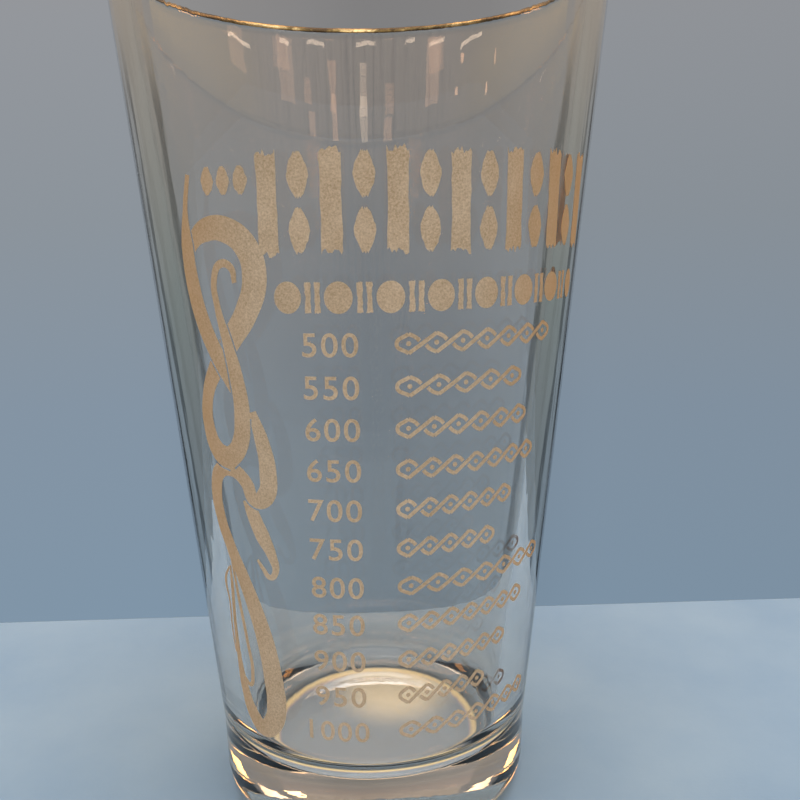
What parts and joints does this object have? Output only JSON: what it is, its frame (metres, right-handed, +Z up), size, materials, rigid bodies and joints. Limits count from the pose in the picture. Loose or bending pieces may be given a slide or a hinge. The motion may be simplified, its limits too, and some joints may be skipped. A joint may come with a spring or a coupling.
{
  "type": "pint glass",
  "caption": "Conical pressed pint glass with a thick rounded foot, an open cup and a fired gold line on its lip.",
  "frame": {"origin": "centre of the foot, on the plane the glass stands on", "axes": "+Z up along the glass's axis towards the mouth; -Y is the side that faces the viewer, with the row of numbers"},
  "size_m": [0.0888, 0.0888, 0.1524],
  "materials": {
    "clear_glass": "fire-polished clear soda-lime glass; the decoration on the outside of the wall is etched to a fine matt tan",
    "gilt": "bright fired gold"
  },
  "bodies": {
    "root": {"glass_body": "clear_glass", "gilt_rim": "gilt"}
  },
  "joints": []
}
